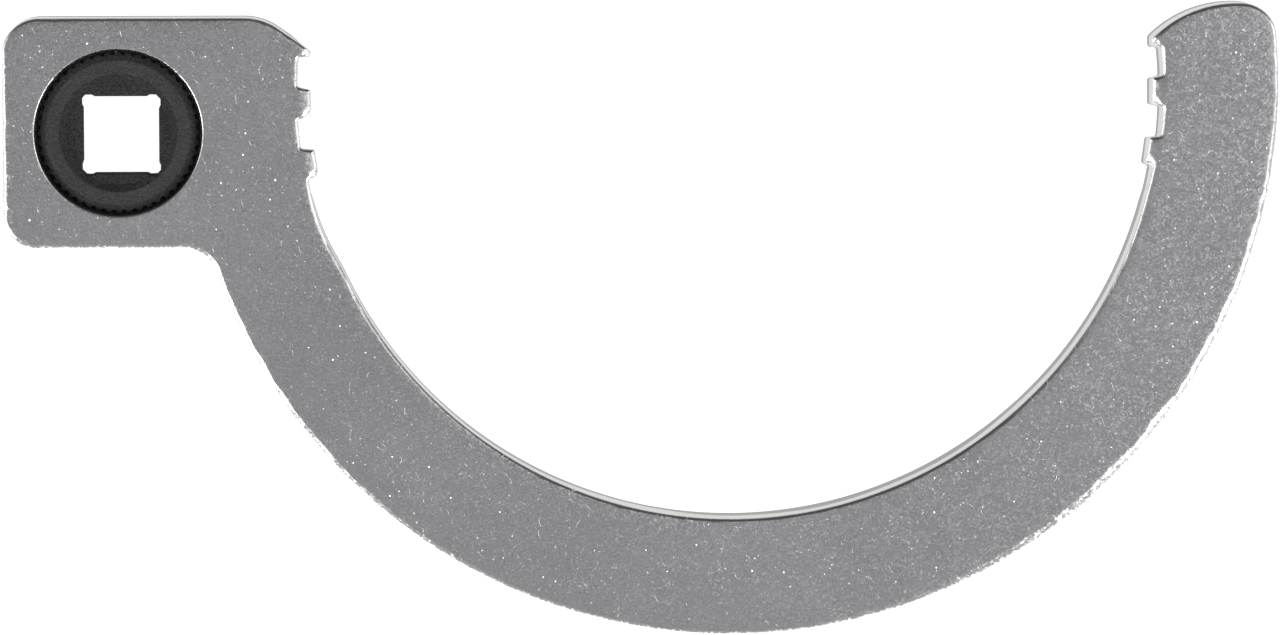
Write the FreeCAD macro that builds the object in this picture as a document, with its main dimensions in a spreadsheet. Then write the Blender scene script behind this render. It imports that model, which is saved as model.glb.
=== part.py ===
import FreeCAD, Part
import math
import os

import Sketcher

# Oil filter wrench: a C-shaped plate that hooks over the flats of a spin-on filter, with a black
# knurled square-drive insert pressed into its head.
#
# Frame: millimetres. The origin is the filter's axis on the plate's back face. +X points from the
# head, across the C, to the free jaw; +Y points out of the C's mouth; +Z is up, out of the front
# face.

# Driving dimensions, in millimetres and degrees: alias, value, what it is.
DIMENSIONS = [
    ("plate_thickness", 6.0, "thickness of the jaw plate"),
    ("seat_radius", 52.45, "inner radius of the C, which clears the filter"),
    ("rim_radius", 67.1, "outer radius of the C"),
    ("rim_shift_x", 0.1, "the outer arc's centre, right of the filter axis"),
    ("rim_shift_y", 0.3, "the outer arc's centre, towards the mouth"),
    ("head_reach", 89.3, "filter axis to the head's outer edge"),
    ("head_root", 58.0, "filter axis to where the head is buried in the C"),
    ("head_top", 9.5, "filter axis to the head's upper edge"),
    ("head_bottom", 18.6, "filter axis to the head's lower edge"),
    ("head_top_round", 4.6, "round of the head's upper corner"),
    ("head_bottom_round", 4.0, "round of the head's lower corner"),
    ("neck_round", 4.5, "hollow round between the head and the C"),
    ("mouth_margin", 80.0, "how far the mouth's cut runs past the C"),
    ("hook_top", 11.05, "filter axis to the free jaw's top"),
    ("hook_slope_reach", 56.4, "filter axis to the top of the free jaw's slope"),
    ("hook_tip_angle", 7.87, "bearing where the free jaw's slope meets the C, above +X"),
    ("hook_round", 4.5, "round of the free jaw's outer corner"),
    ("hook_blend", 14.5, "round between the free jaw's slope and its top"),
    ("root_slope_reach", 57.55, "filter axis to the top of the head jaw's slope"),
    ("root_tip_angle", 6.3, "bearing where the head jaw's slope meets the C, above -X"),
    ("root_blend", 7.0, "round between the head jaw's slope and the head's top"),
    ("free_nose_reach", 51.5, "filter axis to the end of the free jaw's nose"),
    ("head_nose_reach", 51.7, "filter axis to the end of the head jaw's nose"),
    ("nose_buried_reach", 54.0, "filter axis to where each nose is buried in its jaw"),
    ("nose_foot", 3.5, "filter axis to each nose's foot, which its notch cuts away"),
    ("nose_under_round", 0.45, "round between each nose's end and its underside"),
    ("notch_depth_radius", 50.0, "a radius inside the C, where every notch is open"),
    ("tooth_pitch", 8.15, "angle from one tooth to the next"),
    ("tooth_tip_half", 1.78, "half of a tooth's width at its tip, as an angle"),
    ("tooth_base_half", 2.5, "half of a tooth's width at its base, as an angle"),
    ("tooth_base_radius", 55.0, "radius where a tooth's base is buried in the C"),
    ("free_tooth_angle", 0.3, "bearing of the free jaw's first tooth, above +X"),
    ("free_tip_radius", 51.6, "radius of the free jaw's tooth tips"),
    ("free_root_radius", 52.9, "radius of the free jaw's notches"),
    ("free_flank_root", 6.15, "bearing of the free hook's underside, at the notch's root"),
    ("free_flank_mouth", 6.5, "bearing of the free hook's underside, inside the C"),
    ("head_tooth_angle", -1.0, "bearing of the head jaw's first tooth, above -X"),
    ("head_tip_radius", 51.75, "radius of the head jaw's tooth tips"),
    ("head_root_radius", 53.4, "radius of the head jaw's notches"),
    ("head_flank_root", 5.05, "bearing of the head hook's underside, at the notch's root"),
    ("head_flank_mouth", 5.45, "bearing of the head hook's underside, inside the C"),
    ("flare_radius", 28.5, "radius of the shallow flare under the head jaw's teeth"),
    ("flare_distance", 24.65, "filter axis to the flare's centre"),
    ("flare_angle", 14.0, "bearing of the flare's centre, below -X"),
    ("flare_blend", 20.0, "round where the flare runs out into the C"),
    ("edge_round", 0.5, "round of the plate's edges, away from the teeth"),
    ("teeth_reach", 54.5, "radius of the zone of the teeth"),
    ("teeth_top", 6.5, "filter axis to the upper end of the zone of the teeth"),
    ("teeth_bottom", 11.0, "filter axis to the lower end of the zone of the teeth"),
    ("bore_x", 75.2, "filter axis to the drive axis, along -X"),
    ("bore_y", 4.5, "filter axis to the drive axis, along -Y"),
    ("bore_radius", 9.85, "radius of the plate's bore"),
    ("bore_lip", 0.4, "round of the bore's edges"),
    ("insert_depth", 0.3, "how deep the insert sits below each face"),
    ("knurl_count", 48, "serrations around the insert"),
    ("knurl_root_radius", 9.5, "radius of the insert between its serrations"),
    ("knurl_crest_radius", 10.0, "radius of the serrations' crests"),
    ("knurl_crest_half", 0.12, "half of a crest's width"),
    ("knurl_base_radius", 9.3, "radius where a serration's base is buried in the insert"),
    ("knurl_base_half", 0.6, "half of a serration's width at its base"),
    ("lead_radius", 8.83, "radius where the insert's lead-in chamfer starts"),
    ("lead_drop", 1.0, "drop of the lead-in chamfer out to the crests"),
    ("sink_radius", 7.27, "radius of the countersink at the insert's face"),
    ("sink_floor_radius", 6.35, "radius of the countersink at its floor"),
    ("sink_drop", 0.9, "depth of the countersink"),
    ("square_width", 9.72, "across flats of the drive square"),
    ("relief_depth", 0.2, "how far each flat steps out beside the corners"),
    ("relief_length", 1.35, "length of that step, along the flat from the corner"),
    ("relief_corner", 0.55, "leg of the 45 degree cut across each corner"),
]

CLEARANCE = 1.0  # how far a cutting tool runs past the material, in mm
POINT_TOLERANCE = 0.05  # how near an edge lies to the point that names it, in mm
LEAST_VOLUME = 0.01  # a feature that adds or removes less than this has missed the body, in mm3
ORIGIN = -1  # a sketch's own origin and X axis, in constraints
START = 1
END = 2
CENTRE = 3


def make_sheet(document):
    """Put the driving dimensions in a spreadsheet, one named cell each."""
    sheet = document.addObject("Spreadsheet::Sheet", "Sheet")
    for row, (alias, value, meaning) in enumerate(DIMENSIONS, start=1):
        sheet.set("A%d" % row, meaning)
        sheet.set("B%d" % row, str(value))
        sheet.setAlias("B%d" % row, alias)
    document.recompute()
    return sheet


doc = FreeCAD.newDocument("OilFilterWrench")
sheet = make_sheet(doc)


def size(alias):
    """A driving dimension's value."""
    return float(sheet.get(alias))


def cell(alias):
    """A driving dimension as it is written in an expression."""
    return "Sheet." + alias


def value_of(text):
    """The number that an expression stands for now."""
    value = sheet.evalExpression(text)
    return float(getattr(value, "Value", value))


def polar(radius, bearing):
    """The two expressions of a point at a radius and a bearing about the sketch's origin."""
    return "%s * cos(%s)" % (radius, bearing), "%s * sin(%s)" % (radius, bearing)


def make_body(name):
    """A PartDesign body whose label is the node's name."""
    body = doc.addObject("PartDesign::Body", name)
    body.Label = name
    return body


def make_sketch(body, name, plane="XY_Plane"):
    """An empty sketch on one of the body's own origin planes."""
    sketch = body.newObject("Sketcher::SketchObject", name)
    for feature in body.Origin.OriginFeatures:
        if feature.Role == plane:
            sketch.AttachmentSupport = [(feature, "")]
    sketch.MapMode = "FlatFace"
    return sketch


def pin(sketch, geometry, end, x_text=None, y_text=None):
    """Hold a point of a sketch at the place that one or two expressions give."""
    for kind, axis, text in (("DistanceX", -2, x_text), ("DistanceY", -1, y_text)):
        if text is None:
            continue
        value = value_of(text)
        if value == 0:
            sketch.addConstraint(Sketcher.Constraint("PointOnObject", geometry, end, axis))
            continue
        if value > 0:
            constraint = Sketcher.Constraint(kind, ORIGIN, 1, geometry, end, value)
        else:
            constraint = Sketcher.Constraint(kind, geometry, end, ORIGIN, 1, -value)
            text = "-(%s)" % text
        index = sketch.addConstraint(constraint)
        sketch.setExpression("Constraints[%d]" % index, text)


def set_radius(sketch, geometry, text):
    """Hold a circle's or an arc's radius at an expression's value."""
    index = sketch.addConstraint(Sketcher.Constraint("Radius", geometry, value_of(text)))
    sketch.setExpression("Constraints[%d]" % index, text)


def add_circle(sketch, x_text, y_text, radius_text):
    """A full circle."""
    centre = FreeCAD.Vector(value_of(x_text), value_of(y_text), 0)
    circle = Part.Circle(centre, FreeCAD.Vector(0, 0, 1), value_of(radius_text))
    geometry = sketch.addGeometry(circle, False)
    pin(sketch, geometry, CENTRE, x_text, y_text)
    set_radius(sketch, geometry, radius_text)


def add_outline(sketch, corners):
    """A closed outline of straight lines through corners, each a pair of expressions."""
    points = [FreeCAD.Vector(value_of(x), value_of(y), 0) for x, y in corners]
    first = sketch.GeometryCount
    count = len(points)
    for number in range(count):
        line = Part.LineSegment(points[number], points[(number + 1) % count])
        sketch.addGeometry(line, False)
    for number, (x_text, y_text) in enumerate(corners):
        following = first + (number + 1) % count
        sketch.addConstraint(
            Sketcher.Constraint("Coincident", first + number, END, following, START)
        )
        pin(sketch, first + number, START, x_text, y_text)


def add_feature(body, kind, name, sketch):
    """A sketch-based feature of a body, which becomes its tip."""
    feature = body.newObject("PartDesign::" + kind, name)
    feature.Profile = sketch
    body.Tip = feature
    return feature


def pad(body, name, sketch, length_text):
    feature = add_feature(body, "Pad", name, sketch)
    feature.setExpression("Length", length_text)
    doc.recompute()
    return feature


def pocket(body, name, sketch, length_text):
    """Cut upwards from the XY plane, and make sure that something was cut."""
    before = body.Shape.Volume
    feature = add_feature(body, "Pocket", name, sketch)
    feature.Reversed = True
    feature.setExpression("Length", length_text)
    doc.recompute()
    if body.Shape.Volume > before - LEAST_VOLUME:
        raise RuntimeError(name + " cut nothing")
    return feature


def groove(body, name, sketch, turn_axis):
    """Turn a sketch about an axis and cut it away, and make sure that something was cut."""
    before = body.Shape.Volume
    feature = add_feature(body, "Groove", name, sketch)
    feature.ReferenceAxis = turn_axis
    feature.Angle = 360
    doc.recompute()
    if body.Shape.Volume > before - LEAST_VOLUME:
        raise RuntimeError(name + " cut nothing")
    return feature


def polar_pattern(body, name, feature, turn_axis, step_text, count_text):
    """Repeat a feature around an axis."""
    pattern = body.newObject("PartDesign::PolarPattern", name)
    pattern.Originals = [feature]
    pattern.Axis = turn_axis
    pattern.Mode = "Spacing"
    pattern.setExpression("Offset", step_text)
    pattern.setExpression("Occurrences", count_text)
    body.Tip = pattern
    doc.recompute()
    return pattern


def round_edges(body, name, edges, radius_text):
    """Fillet the named edges of the body as it stands."""
    if not edges:
        raise RuntimeError(name + " found no edge")
    base = body.Tip
    feature = body.newObject("PartDesign::Fillet", name)
    feature.Base = (base, edges)
    feature.setExpression("Radius", radius_text)
    body.Tip = feature
    doc.recompute()
    return feature


def upright_edges(shape, x, y):
    """Names of the edges that stand upright at a point of the plan."""
    names = []
    for number, edge in enumerate(shape.Edges, start=1):
        box = edge.BoundBox
        upright = box.XLength < POINT_TOLERANCE and box.YLength < POINT_TOLERANCE
        offset = math.hypot(box.Center.x - x, box.Center.y - y)
        if upright and offset < POINT_TOLERANCE:
            names.append("Edge%d" % number)
    return names


def is_tooth_edge(edge):
    """Whether an edge lies wholly in the zone of the teeth and notches."""
    reach = max(math.hypot(vertex.X, vertex.Y) for vertex in edge.Vertexes)
    levels = [vertex.Y for vertex in edge.Vertexes]
    above = max(levels) < size("teeth_top")
    below = min(levels) > -size("teeth_bottom")
    return reach < size("teeth_reach") and above and below


def smooth_face_edges(shape, level):
    """Names of the edges that lie at a level, without those of the teeth."""
    names = []
    for number, edge in enumerate(shape.Edges, start=1):
        box = edge.BoundBox
        flat = abs(box.ZMin - level) < POINT_TOLERANCE and abs(box.ZMax - level) < POINT_TOLERANCE
        if flat and not is_tooth_edge(edge):
            names.append("Edge%d" % number)
    return names


def serration_outline():
    """One serration of the insert, pointing along +X from the drive axis."""
    base = cell("knurl_base_radius")
    crest = cell("knurl_crest_radius")
    return [
        (base, "-" + cell("knurl_base_half")),
        (crest, "-" + cell("knurl_crest_half")),
        (crest, cell("knurl_crest_half")),
        (base, cell("knurl_base_half")),
    ]


def add_jaw_teeth(body, jaw, side_sign):
    """Cut the notches of one jaw and add its two teeth; side_sign is +1 on +X and -1 on -X."""
    mirror = "" if side_sign > 0 else "-"

    def corner(radius, bearing):
        x_text, y_text = polar(radius, bearing)
        return mirror + "(%s)" % x_text, y_text

    # The recess: the notch's root is an arc about the filter axis, its upper flank is the hook's
    # underside, and its lower end is buried under the second tooth.
    last_tooth = "(%s - %s)" % (cell(jaw + "_tooth_angle"), cell("tooth_pitch"))
    root_radius = cell(jaw + "_root_radius")
    inner_radius = cell("notch_depth_radius")
    upper_root = corner(root_radius, cell(jaw + "_flank_root"))
    lower_root = corner(root_radius, last_tooth)
    lower_mouth = corner(inner_radius, last_tooth)
    upper_mouth = corner(inner_radius, cell(jaw + "_flank_mouth"))

    recess = make_sketch(body, jaw + "_recess_sketch")
    ends = [value_of(jaw_bearing) for jaw_bearing in (last_tooth, cell(jaw + "_flank_root"))]
    if side_sign < 0:
        ends = [180 - ends[1], 180 - ends[0]]
    circle = Part.Circle(FreeCAD.Vector(), FreeCAD.Vector(0, 0, 1), value_of(root_radius))
    arc = Part.ArcOfCircle(circle, math.radians(ends[0]), math.radians(ends[1]))
    points = [
        FreeCAD.Vector(value_of(x), value_of(y), 0)
        for x, y in (upper_root, upper_mouth, lower_mouth, lower_root)
    ]
    recess.addGeometry(arc, False)
    for first, second in zip(points, points[1:]):
        recess.addGeometry(Part.LineSegment(first, second), False)
    upper_end = END if side_sign > 0 else START
    lower_end = START if side_sign > 0 else END
    recess.addConstraint(Sketcher.Constraint("Coincident", 0, CENTRE, ORIGIN, 1))
    recess.addConstraint(Sketcher.Constraint("Coincident", 0, upper_end, 1, START))
    recess.addConstraint(Sketcher.Constraint("Coincident", 1, END, 2, START))
    recess.addConstraint(Sketcher.Constraint("Coincident", 2, END, 3, START))
    recess.addConstraint(Sketcher.Constraint("Coincident", 3, END, 0, lower_end))
    set_radius(recess, 0, root_radius)
    pin(recess, 1, START, y_text=upper_root[1])
    pin(recess, 2, START, *upper_mouth)
    pin(recess, 3, START, *lower_mouth)
    pin(recess, 3, END, y_text=lower_root[1])
    pocket(body, jaw + "_recess", recess, cell("plate_thickness"))

    # The two teeth, each wider at its base than at its tip.
    for number in range(2):
        centre = "(%s - %d * %s)" % (cell(jaw + "_tooth_angle"), number, cell("tooth_pitch"))
        tooth = make_sketch(body, "%s_tooth_%d_sketch" % (jaw, number + 1))
        corners = []
        for radius, half, sign in (
            (cell("tooth_base_radius"), cell("tooth_base_half"), "+"),
            (cell(jaw + "_tip_radius"), cell("tooth_tip_half"), "+"),
            (cell(jaw + "_tip_radius"), cell("tooth_tip_half"), "-"),
            (cell("tooth_base_radius"), cell("tooth_base_half"), "-"),
        ):
            corners.append(corner(radius, "(%s %s %s)" % (centre, sign, half)))
        add_outline(tooth, corners)
        pad(body, "%s_tooth_%d" % (jaw, number + 1), tooth, cell("plate_thickness"))


def add_nose(body, jaw, side_sign, tip, slope_reach, slope_top):
    """Carry a jaw's slope on inside the C, as a short nose, and give the place of its lower corner."""
    mirror = "" if side_sign > 0 else "-"
    end = cell(jaw + "_nose_reach")
    slope = "((%s - (%s)) / (%s - (%s)))" % (slope_top, tip[1], slope_reach, tip[0])
    end_top = "(%s) - ((%s) - %s) * %s" % (tip[1], tip[0], end, slope)
    outline = [
        tip,
        (end, end_top),
        (end, cell("nose_foot")),
        (cell("nose_buried_reach"), cell("nose_foot")),
        (cell("nose_buried_reach"), tip[1]),
    ]
    nose = make_sketch(body, jaw + "_nose_sketch")
    add_outline(nose, [(mirror + "(%s)" % x, y) for x, y in outline])
    pad(body, jaw + "_nose", nose, cell("plate_thickness"))

    # The notch's upper flank, a straight line, will be the nose's underside.
    root_x, root_y = map(value_of, polar(cell(jaw + "_root_radius"), cell(jaw + "_flank_root")))
    mouth_x, mouth_y = map(value_of, polar(cell("notch_depth_radius"), cell(jaw + "_flank_mouth")))
    end_x = value_of(end)
    under_y = root_y + (mouth_y - root_y) * (end_x - root_x) / (mouth_x - root_x)
    return side_sign * end_x, under_y


def flare_end():
    """Where the flare's circle meets the C's inner circle, away from the teeth."""
    distance = size("flare_distance")
    along = (size("seat_radius") ** 2 + distance ** 2 - size("flare_radius") ** 2) / (2 * distance)
    turn = math.degrees(math.acos(along / size("seat_radius")))
    bearing = math.radians(180 + size("flare_angle") + turn)
    return size("seat_radius") * math.cos(bearing), size("seat_radius") * math.sin(bearing)


def make_jaw_plate():
    """The flat C with its head, its two hooked and toothed jaws and the insert's bore."""
    body = make_body("jaw_plate")
    thickness = cell("plate_thickness")

    # The C starts as a full ring.
    ring = make_sketch(body, "ring_sketch")
    add_circle(ring, cell("rim_shift_x"), cell("rim_shift_y"), cell("rim_radius"))
    add_circle(ring, "0", "0", cell("seat_radius"))
    pad(body, "ring", ring, thickness)

    # The head, a block that grows out of the ring.
    head = make_sketch(body, "head_sketch")
    left = "-" + cell("head_reach")
    right = "-" + cell("head_root")
    bottom = "-" + cell("head_bottom")
    top = cell("head_top")
    add_outline(head, [(left, bottom), (right, bottom), (right, top), (left, top)])
    pad(body, "head", head, thickness)

    # The mouth: everything above the two jaws is cut away, and each jaw's end slopes down to
    # its tip.
    mouth = make_sketch(body, "mouth_sketch")
    margin = cell("mouth_margin")
    free_tip = polar(cell("seat_radius"), cell("hook_tip_angle"))
    head_tip = polar(cell("seat_radius"), cell("root_tip_angle"))
    inside = cell("seat_radius") + " / 2"
    mouth_corners = [
        ("-" + margin, top),
        ("-" + cell("root_slope_reach"), top),
        ("-(%s)" % head_tip[0], head_tip[1]),
        ("-(%s)" % inside, head_tip[1]),
        (inside, free_tip[1]),
        free_tip,
        (cell("hook_slope_reach"), cell("hook_top")),
        (margin, cell("hook_top")),
        (margin, margin),
        ("-" + margin, margin),
    ]
    add_outline(mouth, mouth_corners)
    pocket(body, "mouth", mouth, thickness)

    # The shallow flare below the head jaw's teeth.
    flare = make_sketch(body, "flare_sketch")
    flare_x, flare_y = polar(cell("flare_distance"), cell("flare_angle"))
    add_circle(flare, "-(%s)" % flare_x, "-(%s)" % flare_y, cell("flare_radius"))
    pocket(body, "flare", flare, thickness)

    noses = [
        ("free", 1, free_tip, cell("hook_slope_reach"), cell("hook_top")),
        ("head", -1, head_tip, cell("root_slope_reach"), top),
    ]
    nose_corners = []
    for jaw, side_sign, tip, slope_reach, slope_top in noses:
        nose_corners.append(add_nose(body, jaw, side_sign, tip, slope_reach, slope_top))
        add_jaw_teeth(body, jaw, side_sign)

    # Rounds of the upright corners, each found by its place in the plan.
    rim_x = size("rim_shift_x")
    rim_y = size("rim_shift_y")
    hook_run = math.sqrt(size("rim_radius") ** 2 - (size("hook_top") - rim_y) ** 2)
    neck_run = math.sqrt(size("rim_radius") ** 2 - (size("head_bottom") + rim_y) ** 2)
    corners = [
        ("head_top_round", -size("head_reach"), size("head_top")),
        ("head_bottom_round", -size("head_reach"), -size("head_bottom")),
        ("neck_round", rim_x - neck_run, -size("head_bottom")),
        ("hook_round", rim_x + hook_run, size("hook_top")),
        ("hook_blend", size("hook_slope_reach"), size("hook_top")),
        ("root_blend", -size("root_slope_reach"), size("head_top")),
        ("flare_blend", *flare_end()),
    ]
    corners += [("nose_under_round", x, y) for x, y in nose_corners]
    for alias, x, y in corners:
        edges = upright_edges(body.Shape, x, y)
        round_edges(body, "plan_" + alias, edges, cell(alias))

    # The plate's edges, front and back, are rounded, but for the teeth.
    edges = []
    for level in (0, size("plate_thickness")):
        edges += smooth_face_edges(body.Shape, level)
    round_edges(body, "edge_rounds", edges, cell("edge_round"))

    # The bore. The insert's serrations have cut their own grooves in it.
    bore = make_sketch(body, "bore_sketch")
    add_circle(bore, "-" + cell("bore_x"), "-" + cell("bore_y"), cell("bore_radius"))
    pocket(body, "bore", bore, thickness)

    groove_sketch = make_sketch(body, "bore_groove_sketch")
    groove_sketch.setExpression("AttachmentOffset.Base.x", "-" + cell("bore_x"))
    groove_sketch.setExpression("AttachmentOffset.Base.y", "-" + cell("bore_y"))
    add_outline(groove_sketch, serration_outline())
    first_groove = pocket(body, "bore_groove", groove_sketch, thickness)
    step = "360 / " + cell("knurl_count")
    axis = (groove_sketch, ["N_Axis"])
    polar_pattern(body, "bore_grooves", first_groove, axis, step, cell("knurl_count"))

    # The bore's edges are broken by a small chamfer at each face.
    lip = make_sketch(body, "bore_lip_sketch", "XZ_Plane")
    lip.setExpression("AttachmentOffset.Base.x", "-" + cell("bore_x"))
    lip.setExpression("AttachmentOffset.Base.z", cell("bore_y"))
    inner = "%s - %s" % (cell("bore_radius"), cell("bore_lip"))
    outer = "%s + %s" % (cell("bore_radius"), cell("bore_lip"))
    add_outline(lip, [(inner, "0"), (outer, "0"), (inner, "2 * " + cell("bore_lip"))])
    far = "%s - 2 * %s" % (thickness, cell("bore_lip"))
    add_outline(lip, [(inner, thickness), (inner, far), (outer, thickness)])
    groove(body, "bore_lips", lip, (lip, ["V_Axis"]))
    return body


def make_drive_insert():
    """The knurled bush: serrations outside, a countersunk and relieved square inside."""
    body = make_body("drive_insert")
    height = "(%s - 2 * %s)" % (cell("plate_thickness"), cell("insert_depth"))

    core = make_sketch(body, "core_sketch")
    add_circle(core, "0", "0", cell("knurl_root_radius"))
    pad(body, "core", core, height)

    tooth = make_sketch(body, "serration_sketch")
    add_outline(tooth, serration_outline())
    first_tooth = pad(body, "serration", tooth, height)
    step = "360 / " + cell("knurl_count")
    polar_pattern(body, "serrations", first_tooth, (tooth, ["N_Axis"]), step, cell("knurl_count"))

    # Lead-in chamfers on the outside and countersinks on the inside, at both ends.
    turned = make_sketch(body, "turned_sketch", "XZ_Plane")
    crest = cell("knurl_crest_radius")
    lead = cell("lead_radius")
    past = "%s + %g * (%s - %s)" % (crest, CLEARANCE, crest, lead)
    past_drop = "%g * %s" % (1 + CLEARANCE, cell("lead_drop"))
    add_outline(turned, [(lead, "0"), (past, "0"), (past, past_drop)])
    add_outline(turned, [(lead, height), (past, "%s - %s" % (height, past_drop)), (past, height)])
    sink = cell("sink_radius")
    floor = cell("sink_floor_radius")
    drop = cell("sink_drop")
    far_floor = "%s - %s" % (height, drop)
    add_outline(turned, [("0", "0"), (sink, "0"), (floor, drop), ("0", drop)])
    add_outline(turned, [("0", far_floor), (floor, far_floor), (sink, height), ("0", height)])
    groove(body, "turned_ends", turned, (turned, ["V_Axis"]))

    # The drive square. Beside each corner the flats step out, and the corner is cut at 45 degrees.
    square = make_sketch(body, "square_sketch")
    flat = "(%s / 2)" % cell("square_width")
    step_out = "(%s / 2 + %s)" % (cell("square_width"), cell("relief_depth"))
    step_at = "(%s / 2 - %s)" % (cell("square_width"), cell("relief_length"))
    cut_at = "(%s - %s)" % (step_out, cell("relief_corner"))
    quarter = [(flat, step_at), (step_out, step_at), (step_out, cut_at)]
    quarter += [(cut_at, step_out), (step_at, step_out), (step_at, flat)]
    outline = []
    for x_sign, y_sign in (("", ""), ("-", ""), ("-", "-"), ("", "-")):
        points = [(x_sign + x, y_sign + y) for x, y in quarter]
        if x_sign != y_sign:
            points.reverse()
        outline += points
    add_outline(square, outline)
    pocket(body, "square", square, height)

    body.setExpression("Placement.Base.x", "-" + cell("bore_x"))
    body.setExpression("Placement.Base.y", "-" + cell("bore_y"))
    body.setExpression("Placement.Base.z", cell("insert_depth"))
    return body


def check(document, bodies):
    """Stop if any object failed, or if a body has no sound shape."""
    document.recompute()
    for item in document.Objects:
        if "Invalid" in item.State or "Error" in item.State:
            raise RuntimeError("%s failed: %s" % (item.Name, item.State))
    for body in bodies:
        shape = body.Shape
        if shape.isNull() or not shape.isValid() or len(shape.Solids) != 1:
            raise RuntimeError(body.Label + " has no single valid solid")


def main():
    bodies = [make_jaw_plate(), make_drive_insert()]
    check(doc, bodies)
    os.makedirs("parts", exist_ok=True)
    for body in bodies:
        body.Shape.exportStep("parts/%s.step" % body.Label)
        box = body.Shape.BoundBox
        print("%s: %.2f x %.2f x %.2f mm, %.0f mm3" % (
            body.Label, box.XLength, box.YLength, box.ZLength, body.Shape.Volume,
        ))


main()
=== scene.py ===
import math

import bmesh
import bpy
import numpy as np
from mathutils import Matrix, Vector, geometry, kdtree


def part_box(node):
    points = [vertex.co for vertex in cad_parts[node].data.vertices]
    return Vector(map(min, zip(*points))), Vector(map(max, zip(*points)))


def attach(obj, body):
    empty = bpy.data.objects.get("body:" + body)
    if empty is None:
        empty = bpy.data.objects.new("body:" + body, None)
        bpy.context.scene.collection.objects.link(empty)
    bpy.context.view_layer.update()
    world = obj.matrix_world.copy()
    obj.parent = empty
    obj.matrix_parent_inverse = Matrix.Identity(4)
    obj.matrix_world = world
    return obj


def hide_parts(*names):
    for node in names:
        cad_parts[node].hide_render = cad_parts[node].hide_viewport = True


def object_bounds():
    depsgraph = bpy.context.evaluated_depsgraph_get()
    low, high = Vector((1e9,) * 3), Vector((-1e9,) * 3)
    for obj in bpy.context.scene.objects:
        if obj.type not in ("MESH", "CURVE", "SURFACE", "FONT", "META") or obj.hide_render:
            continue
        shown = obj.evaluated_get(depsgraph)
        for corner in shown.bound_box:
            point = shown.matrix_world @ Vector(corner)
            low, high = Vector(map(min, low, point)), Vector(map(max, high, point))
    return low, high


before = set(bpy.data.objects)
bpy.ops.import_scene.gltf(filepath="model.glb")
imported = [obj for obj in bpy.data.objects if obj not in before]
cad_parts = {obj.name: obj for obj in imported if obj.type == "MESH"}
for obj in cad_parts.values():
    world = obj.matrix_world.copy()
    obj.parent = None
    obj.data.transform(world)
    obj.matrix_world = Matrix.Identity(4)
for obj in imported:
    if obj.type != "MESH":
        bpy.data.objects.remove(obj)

# Oil filter wrench on a white table. Two pieces stand for the two CAD nodes: the blasted and plated
# jaw plate, and the black knurled insert in its head. Both take their plan from a section of the CAD
# node, and add what the solid leaves out: rolled and worn edges, leaning and drooping teeth, and
# fine relief. The socket is also drawn smaller than its section, and off centre.
# Lengths are worked out in millimetres and put into meshes in metres.

MM = 0.001
RANDOM = np.random.default_rng(7)
cad_low, cad_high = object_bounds()

PLATE_BOTTOM, PLATE_TOP = (corner.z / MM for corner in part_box("jaw_plate"))
INSERT_LOW, INSERT_HIGH = (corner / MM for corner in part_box("drive_insert"))
DRIVE_AXIS = (INSERT_LOW + INSERT_HIGH) / 2


# ---------------------------------------------------------------- plan curves from the CAD sections

CORNER_TURN = math.radians(25)  # a vertex that turns more than this is a true corner
POLAR_STEP = 0.05
LONG_RUN = 2.5  # a run this much longer than the next one is straight, and its end keeps its direction


def section_loops(node):
    """The closed loops, in mm, where a node's mesh crosses its own middle height; longest first."""
    low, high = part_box(node)
    mesh = bmesh.new()
    mesh.from_mesh(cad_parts[node].data)
    bmesh.ops.remove_doubles(mesh, verts=mesh.verts, dist=0.0001 * MM)
    everything = mesh.verts[:] + mesh.edges[:] + mesh.faces[:]
    middle = (0, 0, (low.z + high.z) / 2)
    cut = bmesh.ops.bisect_plane(mesh, geom=everything, plane_co=middle, plane_no=(0, 0, 1))
    neighbours = {}
    for edge in cut["geom_cut"]:
        if isinstance(edge, bmesh.types.BMEdge):
            first, second = edge.verts
            neighbours.setdefault(first, []).append(second)
            neighbours.setdefault(second, []).append(first)
    loops = []
    while neighbours:
        vertex = next(iter(neighbours))
        loop = []
        while vertex is not None:
            loop.append((vertex.co.x / MM, vertex.co.y / MM))
            following = neighbours.pop(vertex)
            vertex = next((other for other in following if other in neighbours), None)
        loops.append(np.array(loop))
    mesh.free()
    loops.sort(key=lambda points: -np.linalg.norm(np.diff(points, axis=0), axis=1).sum())
    return [without_straight_points(points) for points in loops]


def without_straight_points(points):
    """A closed loop without the points that lie on a straight run, turning anticlockwise."""
    before = points - np.roll(points, 1, axis=0)
    after = np.roll(points, -1, axis=0) - points
    cross = before[:, 0] * after[:, 1] - before[:, 1] * after[:, 0]
    lengths = np.linalg.norm(before, axis=1) * np.linalg.norm(after, axis=1)
    kept = points[np.abs(cross) > 1e-3 * lengths]
    following = np.roll(kept, -1, axis=0)
    area = (kept[:, 0] * following[:, 1] - following[:, 0] * kept[:, 1]).sum()
    return kept if area > 0 else kept[::-1]


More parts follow.
